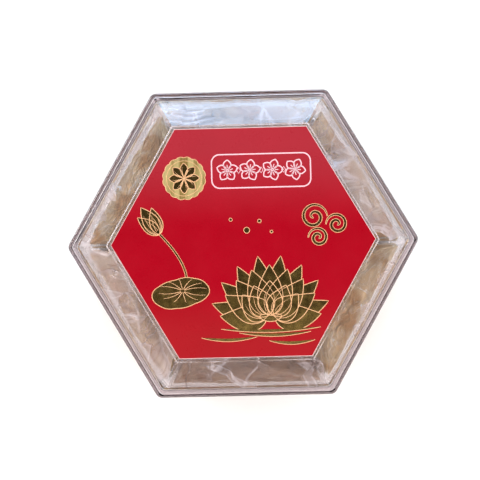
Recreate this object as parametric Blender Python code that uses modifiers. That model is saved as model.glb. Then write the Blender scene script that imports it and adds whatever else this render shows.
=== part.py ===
"""Edible bird's nests in a clear six-sided gift box.

A clear tray holds six dried nests, one along each side, each lying in its own sheet of
thin frosted film. A clear lid with a sloping, faceted shoulder closes the tray, and a
printed card lies in a shallow recess on the lid's flat top.

Metres, +Z up. The origin is the centre of the tray's foot, and +Y crosses a flat side.
A hexagon is given by its inradius, the distance from the axis to the middle of a side.
"""

import math

import bmesh
import bpy
from mathutils import Matrix, Vector

SIDES = 6
HALF_SIDE_ANGLE = math.pi / SIDES
CORNER_STEPS = 4  # straight pieces in each rounded corner
FIT_GAP = 0.0003  # left between pieces that touch

# The box as a whole
OUTER_INRADIUS = 0.0779  # lid's skirt: 180 mm from corner to corner
RIM_HEIGHT = 0.0420  # flat ledge round the lid, above the table
PLATEAU_HEIGHT = 0.0510  # border round the card
WALL = 0.0018  # lid and floor
TRAY_WALL = 0.0016
CORNER = 0.0040  # outer corner radius, in plan

# Lid
SKIRT_HEIGHT = 0.0140
RIM_WIDTH = 0.0042
PLATEAU_INRADIUS = 0.0598
RECESS_INRADIUS = 0.0584
RECESS_DEPTH = 0.0006
PLATEAU_CORNER = 0.0010
SKIRT_FLARE = 0.0002  # mould draft over the skirt's height
LID_EDGE_RADIUS = 0.0009
PLATEAU_EDGE_RADIUS = 0.0005

# Tray
TRAY_INRADIUS = OUTER_INRADIUS - WALL - FIT_GAP
TRAY_TOP = RIM_HEIGHT - WALL - FIT_GAP
TRAY_TAPER = 0.0009  # how much narrower the tray is at its foot
FOOT_EDGE_RADIUS = 0.0024
FOOT_RING_OUTER = TRAY_INRADIUS - TRAY_TAPER - FOOT_EDGE_RADIUS
FOOT_RING_INNER = FOOT_RING_OUTER - 0.0056
FOOT_HEIGHT = 0.0008
FLOOR_TOP = FOOT_HEIGHT + WALL
FLOOR_FILLET = 0.0014

# Printed card
CARD_INRADIUS = 0.0578
CARD_THICKNESS = 0.0004
CARD_GAP = 0.00015
CARD_SHIFT = (0.0003, 0.0002)  # it lies a little off centre in its recess

# Film under, behind and over a nest
FILM = 0.0006
FILM_BACK = TRAY_INRADIUS - TRAY_TAPER - TRAY_WALL - 0.0011  # its face towards the wall
FILM_INNER = 0.0400
FILM_HEIGHT = 0.0355
FILM_LIFT = 0.0065  # rise of the part that folds in over the nest
FILM_BEND = 0.0030
FILM_ACROSS = 8
FILM_FLAT_STEPS = 3
FILM_BEND_STEPS = 3
FILM_WALL_STEPS = 3
FILM_OVER_STEPS = 6
FILM_WAVE = 0.00022
FILM_SIDE_GAP = 0.0008

# Nests: a half cup lying mouth down, its straight back along the wall
NEST_LENGTH = 0.0750
NEST_BACK = FILM_BACK - FILM - FIT_GAP - 0.0007
NEST_BACK_CURVE = 0.0012  # how far the back falls away from the wall at the two tips
NEST_DEPTH = 0.0330
NEST_HEIGHT = 0.0330
NEST_THICKNESS = 0.0090
NEST_BASE = FLOOR_TOP + FIT_GAP + FILM + FIT_GAP + 2 * FILM_WAVE
NEST_FOOT = 0.0040  # height over which the outside tucks in towards the foot
NEST_TUCK = 0.0024
NEST_RIDGE = 0.00085
NEST_RIDGES = 10
NEST_OUTSIDE_POINTS = 19  # in one section, from the back foot over the crest
NEST_INSIDE_POINTS = 8  # and back along the inside of the cup
NEST_ALONG = 18

# What each side of the box holds, counter-clockwise from the +Y side: how far its film
# reaches over the nest, and the lie of the nest's ridges.
SIDES_HELD = (
    {"over": 0.0260, "phase": 0.4},
    {"over": 0.0000, "phase": 1.9},
    {"over": 0.0240, "phase": 3.1},
    {"over": 0.0280, "phase": 4.4},
    {"over": 0.0000, "phase": 5.2},
    {"over": 0.0250, "phase": 0.9},
)


def clear_scene():
    for obj in list(bpy.data.objects):
        bpy.data.objects.remove(obj)


def make_material(name, colour, roughness, transmission=0.0):
    """A Principled material with one colour and one finish."""
    material = bpy.data.materials.new(name)
    material.use_nodes = True
    shader = material.node_tree.nodes["Principled BSDF"]
    shader.inputs["Base Color"].default_value = (*colour, 1.0)
    shader.inputs["Roughness"].default_value = roughness
    shader.inputs["Metallic"].default_value = 0.0
    shader.inputs["Transmission Weight"].default_value = transmission
    shader.inputs["IOR"].default_value = 1.59 if transmission else 1.45
    return material


def new_object(name, bm, material, collection, smooth_angle=math.radians(30)):
    """Turns a bmesh into a named object with its faces pointing outwards."""
    bmesh.ops.recalc_face_normals(bm, faces=bm.faces)
    if bm.calc_volume(signed=True) < 0:
        bmesh.ops.reverse_faces(bm, faces=bm.faces)
    mesh = bpy.data.meshes.new(name)
    bm.to_mesh(mesh)
    bm.free()
    mesh.shade_smooth()
    mesh.set_sharp_from_angle(angle=smooth_angle)
    mesh.materials.append(material)
    obj = bpy.data.objects.new(name, mesh)
    collection.objects.link(obj)
    return obj


def hexagon(inradius, corner, z):
    """Points of a hexagon with rounded corners, counter-clockwise, at height z."""
    points = []
    centre_radius = (inradius - corner) / math.cos(HALF_SIDE_ANGLE)
    for side in range(SIDES):
        middle = side * 2 * HALF_SIDE_ANGLE
        centre = Vector((math.cos(middle), math.sin(middle), 0)) * centre_radius
        for step in range(CORNER_STEPS + 1):
            angle = middle + HALF_SIDE_ANGLE * (2 * step / CORNER_STEPS - 1)
            reach = Vector((math.cos(angle), math.sin(angle), 0)) * corner
            points.append(centre + reach + Vector((0, 0, z)))
    return points


def loft_hexagons(profile):
    """A closed solid through rounded hexagons. profile lists (inradius, z, corner)."""
    bm = bmesh.new()
    rings = [
        [bm.verts.new(point) for point in hexagon(inradius, corner, z)]
        for inradius, z, corner in profile
    ]
    count = len(rings[0])
    for lower, upper in zip(rings, rings[1:]):
        for i in range(count):
            j = (i + 1) % count
            bm.faces.new((lower[i], lower[j], upper[j], upper[i]))
    bm.faces.new(rings[0])
    bm.faces.new(rings[-1])
    return bm


def fillet(inradius, z, radius, start, end, corner, steps=3):
    """Profile points round an edge, on an arc centred at (inradius, z).

    The angles are in degrees, from outwards (0) to up (90).
    """
    points = []
    for step in range(steps + 1):
        angle = math.radians(start + (end - start) * step / steps)
        points.append(
            (
                inradius + radius * math.cos(angle),
                z + radius * math.sin(angle),
                corner,
            )
        )
    return points


def lid_profile():
    """From the middle of the recess outwards, down the skirt, and back inside."""
    facet_foot = OUTER_INRADIUS - RIM_WIDTH
    facet_run = facet_foot - PLATEAU_INRADIUS
    facet_rise = PLATEAU_HEIGHT - RIM_HEIGHT
    slope = math.atan2(facet_rise, facet_run)
    drop = WALL / math.cos(slope)  # wall of the facet, measured straight down
    recess_floor = PLATEAU_HEIGHT - RECESS_DEPTH
    under_plateau = recess_floor - WALL
    under_rim = RIM_HEIGHT - WALL
    # Where the facet's inner face meets the two flat undersides
    inner_top = facet_foot - (under_plateau + drop - RIM_HEIGHT) / math.tan(slope)
    inner_foot = facet_foot - (under_rim + drop - RIM_HEIGHT) / math.tan(slope)
    edge = PLATEAU_EDGE_RADIUS
    outer = [
        (RECESS_INRADIUS, recess_floor, PLATEAU_CORNER * 0.4),
        (RECESS_INRADIUS, PLATEAU_HEIGHT, PLATEAU_CORNER * 0.4),
    ]
    outer += fillet(
        PLATEAU_INRADIUS - edge * math.tan(slope / 2),
        PLATEAU_HEIGHT - edge,
        edge,
        90,
        90 - math.degrees(slope),
        PLATEAU_CORNER,
        2,
    )
    outer += [(facet_foot, RIM_HEIGHT, CORNER * 0.7)]
    outer += fillet(
        OUTER_INRADIUS - LID_EDGE_RADIUS,
        RIM_HEIGHT - LID_EDGE_RADIUS,
        LID_EDGE_RADIUS,
        90,
        0,
        CORNER,
    )
    skirt_foot = RIM_HEIGHT - SKIRT_HEIGHT
    inner = [
        (OUTER_INRADIUS + SKIRT_FLARE, skirt_foot, CORNER),
        (OUTER_INRADIUS - WALL + SKIRT_FLARE, skirt_foot, CORNER - WALL),
        (OUTER_INRADIUS - WALL, under_rim, CORNER - WALL),
        (inner_foot, under_rim, CORNER * 0.5),
        (inner_top, under_plateau, PLATEAU_CORNER),
    ]
    return outer + inner


def tray_profile():
    """From the middle of the foot outwards, up the wall, and back inside to the floor."""
    foot = TRAY_INRADIUS - TRAY_TAPER
    corner = CORNER - WALL
    outside = [
        (FOOT_RING_INNER, FOOT_HEIGHT, corner),
        (FOOT_RING_INNER + FOOT_HEIGHT, 0.0, corner),
    ]
    outside += fillet(
        foot - FOOT_EDGE_RADIUS, FOOT_EDGE_RADIUS, FOOT_EDGE_RADIUS, 270, 360, corner
    )
    lip = TRAY_WALL / 4
    top = [
        (TRAY_INRADIUS, TRAY_TOP - lip, corner),
        (TRAY_INRADIUS - lip, TRAY_TOP, corner),
        (TRAY_INRADIUS - TRAY_WALL + lip, TRAY_TOP, corner),
        (TRAY_INRADIUS - TRAY_WALL, TRAY_TOP - lip, corner),
    ]
    inside = fillet(
        foot - TRAY_WALL - FLOOR_FILLET,
        FLOOR_TOP + FLOOR_FILLET,
        FLOOR_FILLET,
        0,
        -90,
        corner * 0.8,
    )
    return outside + top + inside


def make_card(material, collection):
    """The printed card: a sharp-cornered hexagon from Blender's cone tool."""
    radius = CARD_INRADIUS / math.cos(HALF_SIDE_ANGLE)
    bm = bmesh.new()
    bmesh.ops.create_cone(
        bm,
        cap_ends=True,
        segments=SIDES,
        radius1=radius,
        radius2=radius,
        depth=CARD_THICKNESS,
        matrix=Matrix.Rotation(math.pi / 2, 4, "Z"),
    )
    card = new_object("label_card", bm, material, collection)
    bed = PLATEAU_HEIGHT - RECESS_DEPTH + CARD_GAP
    card.location = (*CARD_SHIFT, bed + CARD_THICKNESS / 2)
    return card


def nest_section(index):
    """Where a point of a nest's section lies: (angle over the cup, 1 outside or 0 inside).

    The angle runs from 0 at the back foot, over the crest, to pi at the front foot.
    """
    if index < NEST_OUTSIDE_POINTS:
        return math.pi * index / (NEST_OUTSIDE_POINTS - 1), 1
    step = index - NEST_OUTSIDE_POINTS
    return math.pi * (1 - step / (NEST_INSIDE_POINTS - 1)), 0


def nest_point(angle, outside, along, phase):
    """A point of a nest in its side's own frame: x along the side, y outwards, z up.

    along runs from -1 to 1 between the tips. The plan is a D with its straight back to
    the wall. The outside is a dome with a steep back and a sloping front, ridged along
    its length and tucked in at the foot. The inside is the same dome less the nest's
    thickness.
    """
    taper = math.sqrt(max(0.0, 1 - along * along))
    plan = 1 - abs(along) ** 2.2
    half_depth = NEST_DEPTH / 2 * plan
    height = NEST_HEIGHT * (0.25 * taper**0.4 + 0.75 * taper)
    middle = NEST_BACK - NEST_BACK_CURVE * along * along - half_depth
    if outside:
        ripple = math.sin(NEST_RIDGES * angle + phase + 2.2 * along)
        lumps = math.sin(5.0 * along + 2.0 * phase) * math.sin(2.0 * angle + phase)
        grow = NEST_RIDGE * (0.7 * ripple + 0.6 * lumps - 1.3) * taper
    else:
        grow = -min(NEST_THICKNESS * (0.4 + 0.6 * taper), 0.6 * half_depth)
    sideways = math.cos(angle)
    power = 0.6 if sideways > 0 else 0.95
    reach = (half_depth + grow) * math.copysign(abs(sideways) ** power, sideways)
    rise = max(0.0, height + grow) * max(0.0, math.sin(angle)) ** 0.7
    tuck = NEST_TUCK * plan * max(0.0, 1 - rise / NEST_FOOT)
    y = middle + reach - math.copysign(tuck, sideways) * outside
    return Vector((along * NEST_LENGTH / 2, y, NEST_BASE + rise))


def make_nest(number, held, material, collection):
    """A nest from a UV sphere: its poles become the tips, and each ring a section."""
    around = NEST_OUTSIDE_POINTS + NEST_INSIDE_POINTS
    bm = bmesh.new()
    bmesh.ops.create_uvsphere(
        bm, u_segments=around, v_segments=NEST_ALONG, radius=1.0
    )
    for vert in bm.verts:
        # The sphere's first meridian lies on +Y, so turns are counted from there.
        turns = math.atan2(-vert.co.x, vert.co.y) / (2 * math.pi)
        angle, outside = nest_section(round(turns * around) % around)
        vert.co = nest_point(angle, outside, vert.co.z, held["phase"])
    nest = new_object(f"nest_{number}", bm, material, collection)
    nest.rotation_euler.z = (number - 1) * 2 * HALF_SIDE_ANGLE
    return nest


def film_path(over):
    """Points (outwards, z) along the middle of a sheet of film.

    It runs out over the floor, turns up behind the nest, and where it covers the nest
    it goes on in a quarter of an ellipse, over wide and FILM_LIFT high.
    """
    back = FILM_BACK - FILM / 2
    floor = FLOOR_TOP + FIT_GAP + FILM / 2 + FILM_WAVE
    inner_bend = back - FILM_BEND
    upper_bend = floor + FILM_BEND
    points = [
        (FILM_INNER + (inner_bend - FILM_INNER) * step / FILM_FLAT_STEPS, floor)
        for step in range(FILM_FLAT_STEPS)
    ]
    for step in range(FILM_BEND_STEPS):
        angle = math.pi / 2 * step / FILM_BEND_STEPS
        points.append(
            (
                inner_bend + FILM_BEND * math.sin(angle),
                upper_bend - FILM_BEND * math.cos(angle),
            )
        )
    for step in range(FILM_WALL_STEPS + 1):
        points.append(
            (back, upper_bend + (FILM_HEIGHT - upper_bend) * step / FILM_WALL_STEPS)
        )
    for step in range(1, FILM_OVER_STEPS + 1 if over else 0):
        angle = math.pi / 2 * step / FILM_OVER_STEPS
        points.append(
            (
                back - over * (1 - math.cos(angle)),
                FILM_HEIGHT + FILM_LIFT * math.sin(angle),
            )
        )
    return points


def make_film(number, held, material, collection):
    """One sheet of film: a flat grid bent along film_path, then given its thickness."""
    path = film_path(held["over"])
    last = len(path) - 1
    bm = bmesh.new()
    bmesh.ops.create_grid(bm, x_segments=FILM_ACROSS, y_segments=last, size=1.0)
    for vert in bm.verts:
        sideways = vert.co.x
        onwards = (vert.co.y + 1) / 2
        outwards, z = path[round(onwards * last)]
        half_width = outwards * math.tan(HALF_SIDE_ANGLE) - FILM_SIDE_GAP
        wave = FILM_WAVE * math.sin(9 * sideways + held["phase"] + 5 * onwards)
        vert.co = Vector((sideways * half_width, outwards, z + wave))
    film = new_object(f"film_wrap_{number}", bm, material, collection)
    film.rotation_euler.z = (number - 1) * 2 * HALF_SIDE_ANGLE
    shell = film.modifiers.new("thickness", "SOLIDIFY")
    shell.thickness = FILM
    shell.offset = 0.0
    return film


def main():
    clear_scene()
    collection = bpy.data.collections.new("edible_birds_nest_box")
    bpy.context.scene.collection.children.link(collection)
    clear = make_material("clear_plastic", (0.95, 0.96, 0.97), 0.05, 1.0)
    print_red = make_material("label_print", (0.56, 0.01, 0.03), 0.35)
    strands = make_material("nest_strands", (0.66, 0.50, 0.30), 0.55)
    frosted = make_material("frosted_film", (0.86, 0.84, 0.84), 0.4, 0.5)
    new_object("box_base", loft_hexagons(tray_profile()), clear, collection)
    new_object("box_lid", loft_hexagons(lid_profile()), clear, collection)
    make_card(print_red, collection)
    for number, held in enumerate(SIDES_HELD, start=1):
        make_nest(number, held, strands, collection)
        make_film(number, held, frosted, collection)


main()
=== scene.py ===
# %% [markdown]
# # Edible birds' nests in a clear six-sided gift box
#
# The real thing is a clear, stiff plastic tray that holds six dried half-cup nests, one
# along each side, each lying in a sheet of thin frosted film. A clear lid with a sloping
# shoulder closes the tray, and a printed card lies in a shallow recess on top.
#
# The construction comes first, as a fixed frame that this script never moves. Each piece
# made below stands in the place of one plain solid of that frame, with the finish and the
# fine shape that the real piece has.

# %% Load the frame
import math

import bmesh
import bpy
import numpy as np
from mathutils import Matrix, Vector


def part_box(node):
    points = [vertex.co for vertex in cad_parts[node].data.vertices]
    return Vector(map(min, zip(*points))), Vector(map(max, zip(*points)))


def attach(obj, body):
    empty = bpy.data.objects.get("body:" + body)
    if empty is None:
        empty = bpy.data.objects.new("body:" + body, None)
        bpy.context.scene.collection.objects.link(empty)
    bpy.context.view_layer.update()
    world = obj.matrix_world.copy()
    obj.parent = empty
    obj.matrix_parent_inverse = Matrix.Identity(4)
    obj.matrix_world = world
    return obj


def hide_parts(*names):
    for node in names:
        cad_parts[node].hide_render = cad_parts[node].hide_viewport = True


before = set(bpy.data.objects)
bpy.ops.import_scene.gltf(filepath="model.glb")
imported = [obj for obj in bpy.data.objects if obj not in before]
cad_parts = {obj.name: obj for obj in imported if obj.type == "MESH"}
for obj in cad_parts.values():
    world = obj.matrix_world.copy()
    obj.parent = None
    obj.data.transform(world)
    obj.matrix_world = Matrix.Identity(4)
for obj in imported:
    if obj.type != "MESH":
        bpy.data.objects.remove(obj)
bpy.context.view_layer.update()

# %% [markdown]
# ## Driving sizes
#
# A hexagon is given by its inradius, the distance from the axis to the middle of a side.
# Heights that the frame can tell are read from it. The others are the construction's own
# sizes, said again here because they can't be read from a box. Everything is in metres,
# so a size in millimetres is written as a number times MM.

# %% Sizes
MM = 0.001
SIDES = 6
SIDE_ANGLE = 2 * math.pi / SIDES
HALF_SIDE_ANGLE = SIDE_ANGLE / 2

PLATEAU_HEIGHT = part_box("box_lid")[1].z
SKIRT_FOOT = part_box("box_lid")[0].z
CARD_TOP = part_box("label_card")[1].z
CARD_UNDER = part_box("label_card")[0].z
OUTER_INRADIUS = 77.9 * MM
RIM_HEIGHT = 42.0 * MM
RIM_WIDTH = 4.2 * MM
WALL = 1.8 * MM
TRAY_WALL = 1.6 * MM
FIT_GAP = 0.3 * MM
CORNER = 4.0 * MM
print(f"lid from {SKIRT_FOOT / MM:.1f} to {PLATEAU_HEIGHT / MM:.1f} mm above the table")

# %% [markdown]
# ## From arrays to a mesh
#
# Every new piece is a surface computed with numpy, and it reaches Blender as one array of
# points and a few arrays of corner numbers. `foreach_set` copies whole arrays, so a mesh
# of a hundred thousand points takes a moment where a Python loop would take minutes.

# %% Mesh helpers
def mesh_object(name, points, faces, sharp_angle=math.radians(35)):
    """An object at the origin from points and a list of face arrays.

    Each face array is (faces, corners): all its faces have the same number of corners.
    """
    mesh = bpy.data.meshes.new(name)
    mesh.vertices.add(len(points))
    mesh.vertices.foreach_set("co", np.ascontiguousarray(points, np.float32).ravel())
    sizes = np.concatenate([np.full(len(group), group.shape[1]) for group in faces])
    corners = np.concatenate([group.ravel() for group in faces])
    mesh.loops.add(len(corners))
    mesh.loops.foreach_set("vertex_index", corners.astype(np.int32))
    mesh.polygons.add(len(sizes))
    starts = np.concatenate(([0], np.cumsum(sizes)[:-1]))
    mesh.polygons.foreach_set("loop_start", starts.astype(np.int32))
    mesh.update(calc_edges=True)
    mesh.validate()
    mesh.shade_smooth()
    if sharp_angle:
        mesh.set_sharp_from_angle(angle=sharp_angle)
    made = bpy.data.objects.new(name, mesh)
    bpy.context.scene.collection.objects.link(made)
    return made


def grid_faces(rows, columns, close_rows=False, close_columns=False):
    """Quads over a grid of points numbered row by row, each turning from row to column."""
    row = np.arange(rows if close_rows else rows - 1)[:, None]
    column = np.arange(columns if close_columns else columns - 1)[None, :]
    next_row = (row + 1) % rows
    next_column = (column + 1) % columns
    quads = [
        row * columns + column,
        next_row * columns + column,
        next_row * columns + next_column,
        row * columns + next_column,
    ]
    return np.stack(np.broadcast_arrays(*quads), axis=-1).reshape(-1, 4)


def add_point_values(obj, name, values):
    """A named number on every point, which a material can read."""
    attribute = obj.data.attributes.new(name, "FLOAT", "POINT")
    attribute.data.foreach_set("value", np.ascontiguousarray(values, np.float32).ravel())


def finish_piece(obj, material, *stands_for, slot=None):
    """Gives a piece its material and its place in the frame."""
    if material:
        obj.data.materials.append(material)
    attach(obj, "root")
    if stands_for:
        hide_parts(*stands_for)
    print(f"{obj.name}: {len(obj.data.polygons)} faces")
    return obj


# %% [markdown]
# ## Materials from nodes
#
# A material here is one Principled shader and the noises that drive it. Everything that
# is the same all over a surface is a constant on the shader's own socket. What varies is
# read from the object's own coordinates, or from a number stored on the mesh, so that it
# stays put when the camera moves.

# %% Node helpers
def node(material, kind, inputs=None, **settings):
    """Adds a node. A socket in inputs gets a constant, or a link if given an output."""
    made = material.node_tree.nodes.new(kind)
    for key, value in settings.items():
        setattr(made, key, value)
    for key, value in (inputs or {}).items():
        if isinstance(value, bpy.types.NodeSocket):
            material.node_tree.links.new(value, made.inputs[key])
        else:
            made.inputs[key].default_value = value
    return made


def new_material(name, **constants):
    """A Principled material. Underscores in a constant's name stand for spaces."""
    material = bpy.data.materials.new(name)
    material.use_nodes = True
    shader = material.node_tree.nodes["Principled BSDF"]
    for key, value in constants.items():
        shader.inputs[key.replace("_", " ")].default_value = value
    return material, shader


def drive(material, shader, socket, output):
    """Links an output to the shader's socket of that name."""
    material.node_tree.links.new(output, shader.inputs[socket])


def place(material):
    """The object's own coordinates, in metres."""
    return node(material, "ShaderNodeTexCoord").outputs["Object"]


def noise(material, where, size, detail=3.0, roughness=0.5):
    """Noise whose features are about size metres across."""
    inputs = {"Vector": where, "Scale": 1 / size, "Detail": detail, "Roughness": roughness}
    return node(material, "ShaderNodeTexNoise", inputs).outputs["Fac"]


def remap(material, value, low, high, to_low=0.0, to_high=1.0, smooth=False):
    """Takes low to to_low and high to to_high, and keeps what lies beyond at the ends."""
    inputs = {"Value": value, "From Min": low, "From Max": high}
    inputs |= {"To Min": to_low, "To Max": to_high}
    kind = "SMOOTHSTEP" if smooth else "LINEAR"
    made = node(material, "ShaderNodeMapRange", inputs, interpolation_type=kind)
    return made.outputs["Result"]


def calculate(material, operation, *values):
    """What a Math node makes of two or three values, each a number or an output."""
    made = node(material, "ShaderNodeMath", dict(enumerate(values)), operation=operation)
    return made.outputs[0]


def stored(material, name):
    """A number that the mesh holds for every point."""
    return node(material, "ShaderNodeAttribute", attribute_name=name).outputs["Fac"]


def blend_colours(material, factor, first, second, kind="MIX"):
    """Colour between first and second. The Mix node's colour sockets are 6 and 7."""
    inputs = {0: factor, 6: first, 7: second}
    settings = {"data_type": "RGBA", "blend_type": kind}
    return node(material, "ShaderNodeMix", inputs, **settings).outputs[2]


def bump(material, shader, height, distance, after=None):
    """Bump of the given height in metres. after is an earlier bump to add to."""
    inputs = {"Height": height, "Distance": distance, "Strength": 1.0}
    if after is not None:
        inputs["Normal"] = after
    made = node(material, "ShaderNodeBump", inputs).outputs["Normal"]
    drive(material, shader, "Normal", made)
    return made


# %% [markdown]
# ## Shells with six sides
#
# The lid and the tray are moulded: one cross-section carried round a hexagon with rounded
# corners. A cross-section is a list of corners, each with its own small radius, and the
# radius that the hexagon's corners have at that place. A Bevel modifier could round the
# edges too, but it rounds every edge alike, and here the plateau is crisp and the rim soft.
#
# Beside each arc lies one more point on the flat. It pins the shading, so that the big
# flats stay flat and mirror straight lines, as moulded plastic does.

# %% Hexagon and profile functions
CORNER_POINTS = 9
ARC_POINTS = 5
SUPPORT = 0.5 * MM  # from an arc to its support point, round the hexagon
EDGE_SUPPORT = 0.25 * MM  # and along a cross-section


def hexagon_rings(inradius, height, corner):
    """Rounded hexagons, one for each row of the three arrays.

    A corner's arc has its centre (inradius - corner) / cos(30 degrees) from the axis. A
    support point lies SUPPORT before and after each arc, on the flat.
    """
    middles = np.arange(SIDES) * SIDE_ANGLE
    turn = np.linspace(-HALF_SIDE_ANGLE, HALF_SIDE_ANGLE, CORNER_POINTS)
    turn = np.concatenate(([turn[0]], turn, [turn[-1]]))
    slide = np.zeros(len(turn))
    slide[0], slide[-1] = -SUPPORT, SUPPORT
    angle = middles[:, None] + turn
    out = np.stack([np.cos(angle), np.sin(angle)], -1)
    along = np.stack([-np.sin(angle), np.cos(angle)], -1)
    centre = np.stack([np.cos(middles), np.sin(middles)], -1)[:, None, :]
    reach = ((inradius - corner) / math.cos(HALF_SIDE_ANGLE))[:, None, None, None]
    flat = reach * centre + corner[:, None, None, None] * out + slide[:, None] * along
    flat = flat.reshape(len(inradius), -1, 2)
    tall = np.broadcast_to(height[:, None, None], (*flat.shape[:2], 1))
    return np.concatenate([flat, tall], -1)


def rounded_profile(corners):
    """Rounds the corners of a cross-section.

    corners has rows (inradius, height, edge radius, hexagon corner radius). The arc of a
    corner touches both its sides, edge radius * tan(half the turn) from the corner.
    """
    corners = np.array(corners)
    rows = [corners[0, [0, 1, 3]]]
    for before, here, after in zip(corners, corners[1:], corners[2:]):
        back, onward = before[:2] - here[:2], after[:2] - here[:2]
        back_length, onward_length = np.hypot(*back), np.hypot(*onward)
        back, onward = back / back_length, onward / onward_length
        turn = math.pi - math.acos(np.clip(back @ onward, -1, 1))
        touch = here[2] * math.tan(turn / 2)
        touch = min(touch, 0.45 * back_length, 0.45 * onward_length)
        radius = touch / math.tan(turn / 2)
        middle = back + onward
        centre = here[:2] + middle / np.hypot(*middle) * radius / math.cos(turn / 2)
        start = here[:2] + back * touch - centre
        side = np.sign(start[0] * -back[1] - start[1] * -back[0])
        swing = side * np.linspace(0, turn, ARC_POINTS)
        arc = centre + np.stack(
            [
                start[0] * np.cos(swing) - start[1] * np.sin(swing),
                start[0] * np.sin(swing) + start[1] * np.cos(swing),
            ],
            -1,
        )
        lead = arc[0] + back * min(EDGE_SUPPORT, 0.3 * (back_length - touch))
        tail = arc[-1] + onward * min(EDGE_SUPPORT, 0.3 * (onward_length - touch))
        rows += [(*point, here[3]) for point in (lead, *arc, tail)]
    rows.append(corners[-1, [0, 1, 3]])
    return np.array(rows)


def loft(name, profile, shift=0.0):
    """A closed shell: the profile carried round the hexagon, with its two ends capped."""
    rings = hexagon_rings(*profile.T) + shift
    rows, columns = rings.shape[:2]
    ring = np.arange(columns)
    caps = [ring[None, :], ((rows - 1) * columns + ring[::-1])[None, :]]
    sides = grid_faces(rows, columns, close_columns=True)
    return mesh_object(name, rings.reshape(-1, 3), [sides, *caps])


print("points in one ring:", hexagon_rings(*np.array([[1.0], [0.0], [0.1]])).shape[1])

# %% [markdown]
# ## Clear plastic
#
# Injection-moulded polystyrene: fully clear, with a refractive index of 1.59 and a trace
# of grey-violet that shows only where one looks along a wall. So the colour is an
# absorption inside the plastic, not a tint on its surface. The lid holds more of it than
# the tray: its skirt, seen end on, is the darkest line of the whole box. The surface has
# the faint long waves of a moulding and fine rubbed patches, a little less glossy.
#
# What the eye sees through the plastic is refracted. The light that falls on the nests
# is let straight through instead, less the part that two faces reflect, because
# a renderer that has to find the lamps through a prism leaves the inside full of noise.

# %% Clear plastic material
TWO_FACES = 0.08  # share of the light that a wall's two faces reflect


def clear_plastic(name, density):
    """density is how strongly the plastic absorbs, in 1/m, where its colour is black."""
    constants = {"Base_Color": (0.985, 0.985, 0.99, 1), "Transmission_Weight": 1.0}
    material, shader = new_material(name, IOR=1.59, **constants)
    where = place(material)
    rubbed = noise(material, where, 9 * MM, detail=5, roughness=0.65)
    drive(material, shader, "Roughness", remap(material, rubbed, 0.5, 0.8, 0.0, 0.03))
    bump(material, shader, noise(material, where, 22 * MM, detail=1), 0.12 * MM)
    ray = node(material, "ShaderNodeLightPath").outputs
    soft = calculate(material, "MAXIMUM", ray["Is Shadow Ray"], ray["Is Diffuse Ray"])
    drive(material, shader, "Alpha", remap(material, soft, 0.0, 1.0, 1.0, TWO_FACES))
    inside = {"Color": (0.42, 0.24, 0.28, 1), "Density": density}
    absorb = node(material, "ShaderNodeVolumeAbsorption", inside)
    output = material.node_tree.nodes["Material Output"]
    material.node_tree.links.new(absorb.outputs["Volume"], output.inputs["Volume"])
    return material


LID_PLASTIC = clear_plastic("lid_plastic", 92.0)
TRAY_PLASTIC = clear_plastic("tray_plastic", 20.0)

# %% [markdown]
# ## Lid
#
# The lid is a plateau with a shallow recess for the card, six sloping facets, a narrow
# flat rim, and a skirt that slips over the tray. The inner line of the facet is the outer
# one moved by its wall, measured square to the slope. That wall is half a millimetre more
# than elsewhere, so that the bends above and below the plateau's edge are in line, and no
# prism between them shows the dark under the card.

# %% Lid
PLATEAU_INRADIUS = 59.8 * MM
RECESS_INRADIUS = 58.4 * MM
RECESS_DEPTH = 0.6 * MM
PLATEAU_CORNER = 1.0 * MM
FACET_WALL = 2.3 * MM
SKIRT_FLARE = 0.2 * MM
CAP_STEP = 2.0 * MM  # from the last edge of a flat to the ring that its cap starts from


def lid_corners():
    """The lid's section, from the recess out over the top and back along the inside."""
    facet_foot = OUTER_INRADIUS - RIM_WIDTH
    slope = math.atan2(PLATEAU_HEIGHT - RIM_HEIGHT, facet_foot - PLATEAU_INRADIUS)
    drop = FACET_WALL / math.cos(slope)
    bed = PLATEAU_HEIGHT - RECESS_DEPTH
    under_plateau = bed - WALL
    under_rim = RIM_HEIGHT - WALL
    inner_top = facet_foot - (under_plateau + drop - RIM_HEIGHT) / math.tan(slope)
    inner_foot = facet_foot - (under_rim + drop - RIM_HEIGHT) / math.tan(slope)
    wide = OUTER_INRADIUS + SKIRT_FLARE
    return [
        (RECESS_INRADIUS - CAP_STEP, bed, 0, PLATEAU_CORNER * 0.4),
        (RECESS_INRADIUS, bed, 0.15 * MM, PLATEAU_CORNER * 0.4),
        (RECESS_INRADIUS, PLATEAU_HEIGHT, 0.2 * MM, PLATEAU_CORNER * 0.4),
        (PLATEAU_INRADIUS, PLATEAU_HEIGHT, 0.6 * MM, PLATEAU_CORNER),
        (facet_foot, RIM_HEIGHT, 0.5 * MM, CORNER * 0.7),
        (OUTER_INRADIUS, RIM_HEIGHT, 0.9 * MM, CORNER),
        (wide, SKIRT_FOOT, 0.85 * MM, CORNER),
        (wide - WALL, SKIRT_FOOT, 0.85 * MM, CORNER - WALL),
        (OUTER_INRADIUS - WALL, under_rim, 0.5 * MM, CORNER - WALL),
        (inner_foot, under_rim, 0.4 * MM, CORNER * 0.5),
        (inner_top, under_plateau, 0.4 * MM, PLATEAU_CORNER),
        (inner_top - CAP_STEP, under_plateau, 0, PLATEAU_CORNER),
    ]


lid = loft("clear_lid", rounded_profile(lid_corners()))
finish_piece(lid, LID_PLASTIC, "box_lid", slot="clear_plastic")

# %% [markdown]
# ## Tray
#
# The tray is a shallow hexagonal tub that stands on a raised ring, so that the middle of
# its floor doesn't touch the table. It narrows a little towards the foot, as a moulding
# must to leave its mould. Its section runs the other way round from the lid's: floor,
# inner wall, lip, outer wall, foot.

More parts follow.
